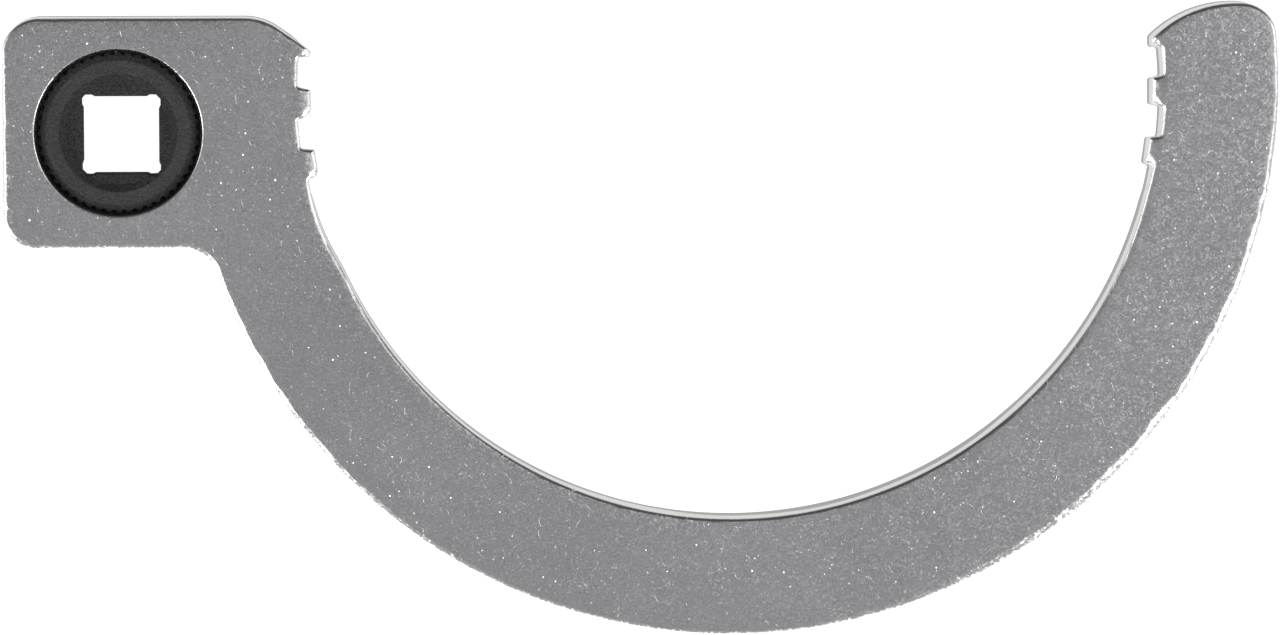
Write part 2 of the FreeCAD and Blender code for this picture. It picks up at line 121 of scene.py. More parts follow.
def smooth_curve(points, step):
    """Fine points along a loop whose gentle vertices lie on arcs; its true corners stay sharp."""
    after = np.roll(points, -1, axis=0) - points
    length = np.linalg.norm(after, axis=1)
    heading = np.arctan2(after[:, 1], after[:, 0])
    count = len(points)
    leaving = np.empty(count)
    arriving = np.empty(count)
    for number in range(count):
        turn = (heading[number] - heading[number - 1] + math.pi) % (2 * math.pi) - math.pi
        if abs(turn) > CORNER_TURN:
            arriving[number], leaving[number] = heading[number - 1], heading[number]
            continue
        if length[number - 1] > LONG_RUN * length[number]:
            middle = heading[number - 1]
        elif length[number] > LONG_RUN * length[number - 1]:
            middle = heading[number]
        else:
            middle = heading[number - 1] + turn / 2
        arriving[number] = leaving[number] = middle
    fine = []
    for number in range(count):
        following = (number + 1) % count
        pieces = max(2, math.ceil(length[number] / step))
        ratio = (np.arange(pieces) / pieces)[:, None]
        start_slope = length[number] * unit(leaving[number])
        end_slope = length[number] * unit(arriving[following])
        fine.append(
            (2 * ratio**3 - 3 * ratio**2 + 1) * points[number]
            + (ratio**3 - 2 * ratio**2 + ratio) * start_slope
            + (3 * ratio**2 - 2 * ratio**3) * points[following]
            + (ratio**3 - ratio**2) * end_slope
        )
    return resample(np.concatenate(fine), step)


def unit(angle):
    return np.array((math.cos(angle), math.sin(angle)))


def resample(points, step):
    """A closed loop's points again, evenly spaced."""
    closed = np.vstack((points, points[:1]))
    along = np.concatenate(([0], np.cumsum(np.linalg.norm(np.diff(closed, axis=0), axis=1))))
    count = round(along[-1] / step)
    wanted = np.arange(count) * along[-1] / count
    return np.stack([np.interp(wanted, along, closed[:, axis]) for axis in (0, 1)], axis=1)


def dense(points, step):
    """A closed loop's own points, with more between them along the straight runs."""
    closed = np.vstack((points, points[:1]))
    runs = []
    for start, end in zip(closed, closed[1:]):
        pieces = math.ceil(np.linalg.norm(end - start) / step)
        ratio = (np.arange(pieces) / pieces)[:, None]
        runs.append(start + (end - start) * ratio)
    return np.concatenate(runs)


def blur(values, width):
    """A closed row of values, each the mean of its neighbours inside the width, twice over."""
    kernel = np.zeros(len(values))
    kernel[: width + 1] = 1
    kernel[-width:] = 1
    response = np.fft.fft(kernel / kernel.sum())
    if values.ndim == 2:
        response = response[:, None]
    return np.fft.ifft(np.fft.fft(values, axis=0) * response**2, axis=0).real


def wander(count, width):
    """A closed row of smooth random values of unit spread."""
    values = blur(RANDOM.standard_normal(count), width)
    return values / values.std()


def polar_radius(points, centre, angles):
    """A loop's distance from a centre at the given bearings."""
    offset = dense(points, POLAR_STEP) - centre
    bearing = np.arctan2(offset[:, 1], offset[:, 0])
    order = np.argsort(bearing)
    reach = np.hypot(offset[:, 0], offset[:, 1])
    return np.interp(angles, bearing[order], reach[order], period=2 * math.pi)


# ---------------------------------------------------------------- meshes


def make_piece(name, node, points, faces):
    """A smooth-shaded mesh piece, in place of a CAD node; points are in mm."""
    mesh = bpy.data.meshes.new(name)
    mesh.from_pydata((np.asarray(points) * MM).tolist(), [], faces)
    mesh.validate()
    mesh.shade_smooth()
    piece = bpy.data.objects.new(name, mesh)
    bpy.context.scene.collection.objects.link(piece)
    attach(piece, "root")
    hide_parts(node)
    return piece


def strip(first, second, count):
    """Quads between two closed rings of vertices, given by each ring's first index."""
    return [
        (first + k, first + (k + 1) % count, second + (k + 1) % count, second + k)
        for k in range(count)
    ]


# The jaw plate. Sizes of its worked edges.
OUTLINE_STEP = 0.25
FINE_STEP = 0.05
PLAN_CORNER = 3  # how many fine steps each corner is blurred over
RIM_ROLL = 0.4  # width of the rolled front edge on the outside, where it is narrow
SEAT_ROLL = 0.42  # the same on the inside, by the filter
BACK_ROLL = 0.35  # width of the back edge's round
WIDE_ROLLS = ((-38, 32, 0.8), (-148, 30, 0.25))  # bearing and spread in degrees, and added width
ROLL_DEPTH = 0.62  # a roll's depth, over its width
ROLL_POWER = 1.5  # 1 is a plain round and 2 a flat chamfer
ROLL_RINGS = 6
WALL_RINGS = 2
WALL_SHOULDER = 0.1  # the wall is flat to this far from each roll
SEAT_REACH = 54.5  # the inside edges and the teeth lie inside this radius
CORNER_SHARE = 0.7  # a roll is at most this much of a convex corner's radius
ROLL_SLOPE = 0.42  # the roll's width changes no faster than this along the edge
LIP_INNER = 9.85
LIP_WIDTH = 0.42  # width of the lip's round at the back face
LIP_PROFILE = (  # radius, and drop below the front face
    (9.9, 0.75),
    (10.04, 0.47),
    (10.18, 0.2),
    (10.22, 0.13),
    (10.28, 0.06),
    (10.35, 0.015),
    (10.42, 0.0),
)
BORE_STEPS = 576
PRESS_GAP = 0.02  # how near the bore's pressed wall comes to the serrations
LEDGE_DEPTH = 1.05  # how deep the pushed metal begins, from each face
GRID_NEAR = 0.32
GRID_FAR = 0.9
NEAR_EDGE = 2.2
TOOTH_ROOT = 53.2
TOOTH_TIP = 51.7
TOOTH_DROOP = 0.2
CORNER_DENT = 0.5  # how deep the lower corners of the teeth and hooks are worn down
CORNER_DENT_REACH = 0.9
TOOTH_LEAN = 0.38  # how far the teeth's back face lies below the front face, down the plan
EDGE_DROOP = 0.12
EDGE_DROOP_REACH = 1.0
TEETH_LOW = (-12.5, -11)  # Y over which the droop of the teeth sets in, and where it ends
TEETH_HIGH = (9, 11)
LEAN_LOW = (-13.5, -11.5)  # the same for their lean
LEAN_HIGH = (5.7, 7.4)
LEAN_REACH = (53.6, 56)  # radius over which the lean dies out
TOOTHED_MIDDLE = -3  # the corners that wear lie within this much of this Y
TOOTHED_HALF = 9.5
CORNER_RADIUS = 1.0  # a plan radius below this is a corner
LOWER_NORMAL = (0.5, 0.9)  # how far a lower corner's inward normal points towards +Y
FACE_START = 0.35  # the droop reaches down to this share of the plate's thickness
LEDGE_SLOPE = 0.15  # the pushed metal steps in over these two heights
LEDGE_END = 0.4
LEDGE_SHARE = 0.7


def outline_frame(points):
    """Unit inward normals and convex radii of an anticlockwise closed loop."""
    tangent = np.roll(points, -1, axis=0) - np.roll(points, 1, axis=0)
    spacing = np.linalg.norm(tangent, axis=1) / 2
    tangent /= np.linalg.norm(tangent, axis=1)[:, None]
    normal = np.stack((-tangent[:, 1], tangent[:, 0]), axis=1)
    heading = np.unwrap(np.arctan2(tangent[:, 1], tangent[:, 0]))
    turn = np.roll(heading, -1) - np.roll(heading, 1)
    turn = (turn + math.pi) % (2 * math.pi) - math.pi
    radius = np.where(turn > 1e-6, 2 * spacing / np.maximum(turn, 1e-6), np.inf)
    return normal, radius


def limit_slope(values, most):
    """Lower a closed row of values until neighbours differ by no more than a step."""
    values = values.copy()
    for _ in range(2):
        for number in range(len(values)):
            values[number] = min(values[number], values[number - 1] + most)
        for number in reversed(range(len(values))):
            values[number - 1] = min(values[number - 1], values[number] + most)
    return values


def roll_widths(points, normal, radius, rim_width, seat_width, wide_rolls):
    """How wide the rolled edge is at each point of the outline."""
    inside = (np.hypot(points[:, 0], points[:, 1]) < SEAT_REACH) & (points[:, 1] < 8)
    outward = np.degrees(np.arctan2(-normal[:, 1], -normal[:, 0]))
    rim = np.full(len(points), rim_width)
    for bearing, spread, added in wide_rolls:
        away = (outward - bearing + 180) % 360 - 180
        rim = rim + added * np.exp(-((away / spread) ** 2))
    width = np.where(inside, seat_width, blur(rim, 12))
    width = width * (1 + 0.05 * wander(len(points), 8) + 0.07 * wander(len(points), 2))
    width = np.minimum(width, CORNER_SHARE * radius)
    return limit_slope(np.maximum(width, 0.08), ROLL_SLOPE * OUTLINE_STEP)


def smoothstep(low, high, value):
    ratio = np.clip((value - low) / (high - low), 0, 1)
    return ratio * ratio * (3 - 2 * ratio)


def face_drop(points, edge_distance):
    """How far the front face lies below its plane: at the teeth, and close to every edge."""
    reach = np.hypot(points[:, 0], points[:, 1])
    beside = smoothstep(*TEETH_LOW, points[:, 1]) * (1 - smoothstep(*TEETH_HIGH, points[:, 1]))
    teeth = beside * (1 - smoothstep(TOOTH_TIP, TOOTH_ROOT, reach))
    return TOOTH_DROOP * teeth + EDGE_DROOP * np.exp(-edge_distance / EDGE_DROOP_REACH)


def lean_share(points):
    """How much of the teeth's lean a point of the plan takes: all at the teeth, none beyond."""
    reach = np.hypot(points[:, 0], points[:, 1])
    beside = smoothstep(*LEAN_LOW, points[:, 1]) * (1 - smoothstep(*LEAN_HIGH, points[:, 1]))
    return beside * (1 - smoothstep(*LEAN_REACH, reach))


def grid_points(low, high, step):
    """Points of a triangular grid over a rectangle."""
    rows = np.arange(low[1], high[1], step * math.sqrt(3) / 2)
    columns = np.arange(low[0], high[0], step)
    points = []
    for number, row in enumerate(rows):
        shifted = columns + (step / 2 if number % 2 else 0)
        points.append(np.stack((shifted, np.full(len(shifted), row)), axis=1))
    points = np.concatenate(points)
    return points + RANDOM.uniform(-0.2, 0.2, points.shape) * step


def inside_loop(points, loop):
    """Which points a closed loop encloses."""
    inside = np.zeros(len(points), bool)
    x, y = points[:, 0], points[:, 1]
    for (x0, y0), (x1, y1) in zip(loop, np.roll(loop, -1, axis=0)):
        crosses = (y0 > y) != (y1 > y)
        inside ^= crosses & (x < (x1 - x0) * (y - y0) / (y1 - y0 + 1e-30) + x0)
    return inside


def distance_to(points, targets):
    """Each point's distance to the nearest target."""
    tree = kdtree.KDTree(len(targets))
    for number, (x, y) in enumerate(targets):
        tree.insert((x, y, 0), number)
    tree.balance()
    return np.array([tree.find((x, y, 0))[2] for x, y in points])


def face_mesh(outer, hole, near_step, far_step):
    """Vertices and triangles of the flat face between an outer loop and a hole's loop."""
    low = outer.min(axis=0)
    high = outer.max(axis=0)
    edges = np.concatenate((outer, hole))
    chosen = []
    for step, nearest, farthest in (
        (near_step, 0.7 * near_step, NEAR_EDGE),
        (far_step, NEAR_EDGE, math.inf),
    ):
        candidates = grid_points(low, high, step)
        candidates = candidates[inside_loop(candidates, outer) & ~inside_loop(candidates, hole)]
        gap = distance_to(candidates, edges)
        chosen.append(candidates[(gap > nearest) & (gap <= farthest)])
    points = np.concatenate([outer, hole] + chosen)
    rings = []
    for first, count in ((0, len(outer)), (len(outer), len(hole))):
        rings += [(first + k, first + (k + 1) % count) for k in range(count)]
    result = geometry.delaunay_2d_cdt([Vector(p) for p in points], rings, [], 1, 1e-7)
    vertices, faces, sources = np.array(result[0]), result[2], result[3]
    if len(vertices) != len(points) or any(len(source) != 1 for source in sources):
        raise RuntimeError("the face's outline crosses itself")
    order = np.array([source[0] for source in sources])
    middles = np.array([vertices[list(face)].mean(axis=0) for face in faces])
    wanted = ~inside_loop(middles, hole)
    triangles = [[int(order[k]) for k in face] for face, keep in zip(faces, wanted) if keep]
    return points, triangles


def make_plate():
    """The jaw plate: rolled edges round the CAD outline, the bore's lip, and two faces."""
    plan = smooth_curve(section_loops("jaw_plate")[0], FINE_STEP)
    plan = resample(blur(plan, PLAN_CORNER), OUTLINE_STEP)
    low, high = (np.array(corner.xy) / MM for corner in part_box("jaw_plate"))
    plan = np.clip(plan, low, high)
    normal, radius = outline_frame(plan)
    count = len(plan)
    front = roll_widths(plan, normal, radius, RIM_ROLL, SEAT_ROLL, WIDE_ROLLS)
    back = roll_widths(plan, normal, radius, BACK_ROLL, BACK_ROLL, ())

    # Rings from the back face round the wall to the front face.
    rings = []
    for step in range(ROLL_RINGS + 1):
        turn = math.pi / 2 * (1 - step / ROLL_RINGS)
        offset = back * (1 - math.cos(turn))
        rings.append((offset, PLATE_BOTTOM + ROLL_DEPTH * back * (1 - math.sin(turn))))
    wall_low = rings[-1][1]
    wall_high = PLATE_TOP - ROLL_DEPTH * front
    wall_low = wall_low + WALL_SHOULDER
    wall_high = wall_high - WALL_SHOULDER
    for step in range(WALL_RINGS + 1):
        rings.append((np.zeros(count), wall_low + (wall_high - wall_low) * step / WALL_RINGS))
    for step in range(ROLL_RINGS + 1):
        turn = math.pi / 2 * step / ROLL_RINGS
        offset = front * (1 - math.cos(turn) ** ROLL_POWER)
        drop = ROLL_DEPTH * front * (1 - math.sin(turn) ** ROLL_POWER)
        rings.append((offset, PLATE_TOP - drop))

    # The bore: the insert's serrations have cut grooves in its wall and pushed metal in between
    # them, short of each face, and both its edges are rolled.
    angles = np.arange(BORE_STEPS) * 2 * math.pi / BORE_STEPS
    centre = np.array(DRIVE_AXIS.xy)
    bearings = np.stack((np.cos(angles), np.sin(angles)), axis=1)
    serrations = polar_radius(section_loops("drive_insert")[0], centre, angles)
    pressed = serrations + PRESS_GAP
    grooved = np.maximum(LIP_INNER, pressed)
    bore_rings = []
    for step in range(ROLL_RINGS + 1):
        turn = math.pi / 2 * (1 - step / ROLL_RINGS)
        lip = LIP_INNER + LIP_WIDTH * (1 - math.cos(turn))
        reach = np.maximum(lip, pressed)
        bore_rings.append((reach, PLATE_BOTTOM + LIP_WIDTH * (1 - math.sin(turn))))
    bore_rings.append((grooved, PLATE_BOTTOM + LEDGE_DEPTH))
    stepped = (1 - LEDGE_SHARE) * grooved + LEDGE_SHARE * pressed
    bore_rings.append((stepped, PLATE_BOTTOM + LEDGE_DEPTH + LEDGE_SLOPE))
    bore_rings.append((pressed, PLATE_BOTTOM + LEDGE_DEPTH + LEDGE_END))
    for reach, level in bore_rings[:ROLL_RINGS:-1]:
        bore_rings.append((reach, PLATE_BOTTOM + PLATE_TOP - level))
    for lip, drop in LIP_PROFILE:
        bore_rings.append((np.maximum(lip, pressed), PLATE_TOP - drop))

    points = []
    for offset, level in rings:
        ring = plan + normal * offset[:, None]
        points.append(np.column_stack((ring, np.broadcast_to(level, count))))
    bore_start = count * len(rings)
    for reach, level in bore_rings:
        ring = centre + bearings * reach[:, None]
        points.append(np.column_stack((ring, np.full(BORE_STEPS, level))))
    points = np.concatenate(points)
    faces = []
    for number in range(len(rings) - 1):
        faces += strip(count * number, count * (number + 1), count)
    for number in range(len(bore_rings) - 1):
        first = bore_start + BORE_STEPS * number
        faces += [quad[::-1] for quad in strip(first, first + BORE_STEPS, BORE_STEPS)]

    # The two faces share the last rings' vertices.
    for ring_number, bore_number, level, flip in (
        (0, 0, PLATE_BOTTOM, True),
        (len(rings) - 1, len(bore_rings) - 1, PLATE_TOP, False),
    ):
        outer_first = count * ring_number
        hole_first = bore_start + BORE_STEPS * bore_number
        outer = points[outer_first : outer_first + count, :2]
        hole = points[hole_first : hole_first + BORE_STEPS, :2]
        flat, triangles = face_mesh(outer, hole, GRID_NEAR, GRID_FAR)
        inner_first = len(points)
        lookup = np.concatenate((
            np.arange(outer_first, outer_first + count),
            np.arange(hole_first, hole_first + BORE_STEPS),
            np.arange(inner_first, inner_first + len(flat) - count - BORE_STEPS),
        ))
        inner = flat[count + BORE_STEPS :]
        points = np.vstack((points, np.column_stack((inner, np.full(len(inner), level)))))
        for triangle in triangles:
            corners = [int(lookup[k]) for k in triangle]
            faces.append(corners[::-1] if flip else corners)

    # The front face droops at the teeth and along its edges, the teeth's lower corners dip further
    # where worn, and the teeth lean.
    gap = distance_to(points[:, :2], plan)
    height = (points[:, 2] - PLATE_BOTTOM) / (PLATE_TOP - PLATE_BOTTOM)
    near_teeth = np.abs(plan[:, 1] - TOOTHED_MIDDLE) < TOOTHED_HALF
    toothed = near_teeth & (np.hypot(plan[:, 0], plan[:, 1]) < TOOTH_ROOT)
    downward = (normal[:, 1] > LOWER_NORMAL[0]) & (normal[:, 1] < LOWER_NORMAL[1])
    lower_corners = toothed & downward & (radius < CORNER_RADIUS)
    worn = np.clip(1 - distance_to(points[:, :2], plan[lower_corners]) / CORNER_DENT_REACH, 0, 1)
    drop = face_drop(points[:, :2], gap) + CORNER_DENT * worn
    drop *= smoothstep(FACE_START, 1, height)
    points[:, 1] -= TOOTH_LEAN * (1 - height) * lean_share(points[:, :2])
    points[:, 2] -= drop
    return make_piece("plate", "jaw_plate", points, faces)


# The drive insert. Radii and drops of its turned profile, from its face.
LEAD_RADIUS = 8.83
LEAD_SLOPE = 1.0 / 1.17
SINK_RADIUS = 7.27
SINK_FLOOR = 6.35
SINK_DROP = 0.9
PROFILE_BLUR = 0.1
INSERT_STEPS = 768
MOUTH_ROUND = 0.1
SOCKET_HEIGHTS = (0.5, 0.8, 0.95)  # rings up the socket's wall, as shares of its half height
FACE_STEP = 0.12  # the rings round the socket's mouth keep this apart, in mouth rounds
FACE_FIRST = 1.3  # and the first of them this far out
CREST_ROUND = 0.08  # how far the serrations' ends are rounded in, and down
CREST_EDGE = 0.02
CREST_DROP = 0.09
# Radii of the rings across the end, close together at its corners.
END_RINGS = (5.2, 5.6, 6.0, 6.2, 6.3, 6.4, 6.5, 6.7, 6.9, 7.05, 7.15, 7.22, 7.27, 7.32, 7.4)
END_RINGS += (7.7, 8.1, 8.5, 8.7, 8.78, 8.83, 8.88, 8.95, 9.15, 9.35)
SOCKET_FIT = (0.955, 0.98)  # the socket is drawn smaller than the CAD's by this, along X and Y
SOCKET_SHIFT = (0.3, -0.34)  # and this far off the drive axis; both are fitted, not from the CAD


def insert_drop(reach):
    """How far the insert's end surface lies below its face, at a distance from the drive axis."""
    sink = SINK_DROP * np.clip((SINK_RADIUS - reach) / (SINK_RADIUS - SINK_FLOOR), 0, 1)
    lead = LEAD_SLOPE * np.clip(reach - LEAD_RADIUS, 0, None)
    return sink + lead


def soft_drop(reach):
    """The same profile with its turned corners slightly rounded."""
    shifts = np.linspace(-PROFILE_BLUR, PROFILE_BLUR, 9)
    return np.mean([insert_drop(reach + shift) for shift in shifts], axis=0)


def make_insert():
    """The insert: serrated outside, turned ends, and the square socket right through."""
    angles = np.arange(INSERT_STEPS) * 2 * math.pi / INSERT_STEPS
    bearings = np.stack((np.cos(angles), np.sin(angles)), axis=1)
    centre = np.array(DRIVE_AXIS.xy)
    outside, socket = section_loops("drive_insert")[:2]
    crest = polar_radius(outside, centre, angles)
    socket = centre + (socket - centre) * SOCKET_FIT + SOCKET_SHIFT
    square = polar_radius(socket, centre, angles)
    floor_level = INSERT_HIGH.z
    middle = DRIVE_AXIS.z

    # Rings of one end, from the middle of the socket's wall out over the end to the middle of the
    # serrations. Each ring is a radius per bearing and a height above the middle.
    rings = [(square, np.zeros(INSERT_STEPS))]
    edge = (floor_level - middle) - soft_drop(square)
    for share in SOCKET_HEIGHTS:
        rings.append((square, share * (edge - MOUTH_ROUND)))
    for turn in (0, 30, 60, 90):
        angle = math.radians(turn)
        reach = square + MOUTH_ROUND * (1 - math.cos(angle))
        level = (floor_level - middle) - soft_drop(reach) - MOUTH_ROUND * (1 - math.sin(angle))
        rings.append((reach, level))
    for number, stop in enumerate(END_RINGS):
        reach = np.maximum(stop, square + MOUTH_ROUND * (FACE_FIRST + FACE_STEP * number))
        rings.append((reach, (floor_level - middle) - soft_drop(reach)))
    outer_edge = crest - CREST_ROUND
    rings.append((outer_edge, (floor_level - middle) - soft_drop(outer_edge)))
    drop = soft_drop(crest)
    rings.append((crest - CREST_EDGE, (floor_level - middle) - drop - CREST_EDGE))
    rings.append((crest, (floor_level - middle) - drop - CREST_DROP))
    rings.append((crest, 0.5 * ((floor_level - middle) - drop)))

    points = []
    both = [(reach, level) for reach, level in rings]
    both += [(crest, np.zeros(INSERT_STEPS))]
    both += [(reach, -level) for reach, level in reversed(rings[1:])]
    for reach, level in both:
        plan = centre + bearings * reach[:, None]
        points.append(np.column_stack((plan, middle + level)))
    faces = []
    for number in range(len(both)):
        first = INSERT_STEPS * number
        second = INSERT_STEPS * ((number + 1) % len(both))
        faces += strip(first, second, INSERT_STEPS)
    faces = [face[::-1] for face in faces]
    return make_piece("insert", "drive_insert", np.concatenate(points), faces)


# ---------------------------------------------------------------- materials

FACE_DARK = (0.33, 0.322, 0.34, 1)
FACE_PALE = (0.78, 0.77, 0.8, 1)
# The wall's colours: bright sheared metal, and duller torn metal, which is partly painted shade where
# the wall meets the table.
WALL_SHEARED = (0.52, 0.52, 0.51, 1)
WALL_TORN_AND_SHADED = (0.27, 0.265, 0.255, 1)
# The rolled edges' colours: a bright one, and two of painted shade, for where they face +Y and where
# they are steepest.
ROLL_BRIGHT = (0.86, 0.86, 0.85, 1)
ROLL_UPWARD_SHADE = (0.45, 0.45, 0.45, 1)  # where a rolled edge faces +Y
ROLL_STEEP_SHADE = (0.3, 0.31, 0.33, 1)
INSERT_DARK = (0.03, 0.0305, 0.031, 1)
INSERT_PALE = (0.1, 0.101, 0.102, 1)
CARD_BLACK = (0.1, 0.1, 0.1, 1)
TABLE_PALE = (0.4, 0.4, 0.4, 1)

# Sizes of the plate's relief and markings, in mm.
GRAIN_SIZE = 0.26
SPECK_SIZE = 0.3
FAINT_SIZE = 0.24
SCRATCH_SIZE = 2.6
TORN_AND_SHADED_WAVE = 22

class Nodes:
    """Short ways to add and join shader nodes of one material."""

    def __init__(self, name):
        self.material = bpy.data.materials.new(name)
        self.material.use_nodes = True
        self.tree = self.material.node_tree
        self.shader = self.tree.nodes["Principled BSDF"]
        self.position = self.add("ShaderNodeTexCoord").outputs["Object"]
        self.shifted = self.vector("ADD", self.position, (0.31, 0.17, 0.09))

    def add(self, kind, **settings):
        node = self.tree.nodes.new(kind)
        for name, value in settings.items():
            setattr(node, name, value)
        return node

    def join(self, value, socket):
        if isinstance(value, bpy.types.NodeSocket):
            self.tree.links.new(value, socket)
        else:
            socket.default_value = value

    def math(self, operation, first, second=0.0, clamp=False):
        node = self.add("ShaderNodeMath", operation=operation, use_clamp=clamp)
        self.join(first, node.inputs[0])
        self.join(second, node.inputs[1])
        return node.outputs[0]

    def vector(self, operation, first, second=(0, 0, 0)):
        node = self.add("ShaderNodeVectorMath", operation=operation)
        self.join(first, node.inputs[0])
        if operation == "SCALE":
            self.join(second, node.inputs["Scale"])
        else:
            self.join(second, node.inputs[1])
        return node.outputs["Value" if operation in ("LENGTH", "DOT_PRODUCT") else "Vector"]

    def noise(self, size_mm, detail=2.0, roughness=0.5, position=None):
        node = self.add("ShaderNodeTexNoise")
        self.join(position or self.position, node.inputs["Vector"])
        node.inputs["Scale"].default_value = 1 / (size_mm * MM)
        node.inputs["Detail"].default_value = detail
        node.inputs["Roughness"].default_value = roughness
        return node.outputs["Fac"]

    def cells(self, size_mm):
        """A cell pattern's outputs: a colour for each cell, and the distance to its centre."""
        node = self.add("ShaderNodeTexVoronoi")
        self.join(self.position, node.inputs["Vector"])
        node.inputs["Scale"].default_value = 1 / (size_mm * MM)
        return node.outputs

    def span(self, value, low, high, to_low=0.0, to_high=1.0):
        node = self.add("ShaderNodeMapRange", clamp=True)
        self.join(value, node.inputs["Value"])
        self.join(low, node.inputs["From Min"])
        self.join(high, node.inputs["From Max"])
        self.join(to_low, node.inputs["To Min"])
        self.join(to_high, node.inputs["To Max"])
        return node.outputs["Result"]

    def mix(self, factor, first, second):
        node = self.add("ShaderNodeMix", data_type="RGBA")
        self.join(factor, node.inputs["Factor"])
        self.join(first, node.inputs[6])
        self.join(second, node.inputs[7])
        return node.outputs[2]

    def bump(self, height, strength, distance_mm, normal=None):
        node = self.add("ShaderNodeBump")
        self.join(height, node.inputs["Height"])
        node.inputs["Strength"].default_value = strength
        node.inputs["Distance"].default_value = distance_mm * MM
        if normal is not None:
            self.join(normal, node.inputs["Normal"])
        return node.outputs["Normal"]


def lean_cells(nodes, normal, size_mm, amount):
    """Lean the normal a different way in each cell."""
    lean = nodes.vector("SUBTRACT", nodes.cells(size_mm)["Color"], (0.5, 0.5, 0.5))
    return nodes.vector("ADD", normal, nodes.vector("SCALE", lean, amount))


def flecks(nodes, size_mm, share):
    """Round flecks in a share of small cells: how much a place is fleck, and a lean for each.

    The leans go every way across X but mostly towards -Y, where the light boxes are.
    """
    cells = nodes.cells(size_mm)
    split = nodes.add("ShaderNodeSeparateXYZ")
    nodes.join(cells["Color"], split.inputs[0])
    chosen = nodes.math("LESS_THAN", split.outputs["Z"], share)
    core = nodes.span(cells["Distance"], 0.2, 0.55, 1.0, 0.0)
    lean = nodes.vector("SUBTRACT", cells["Color"], (0.5, 0.85, 0))
    lean = nodes.vector("MULTIPLY", lean, (1, 1, 0))
    return nodes.math("MULTIPLY", chosen, core), lean


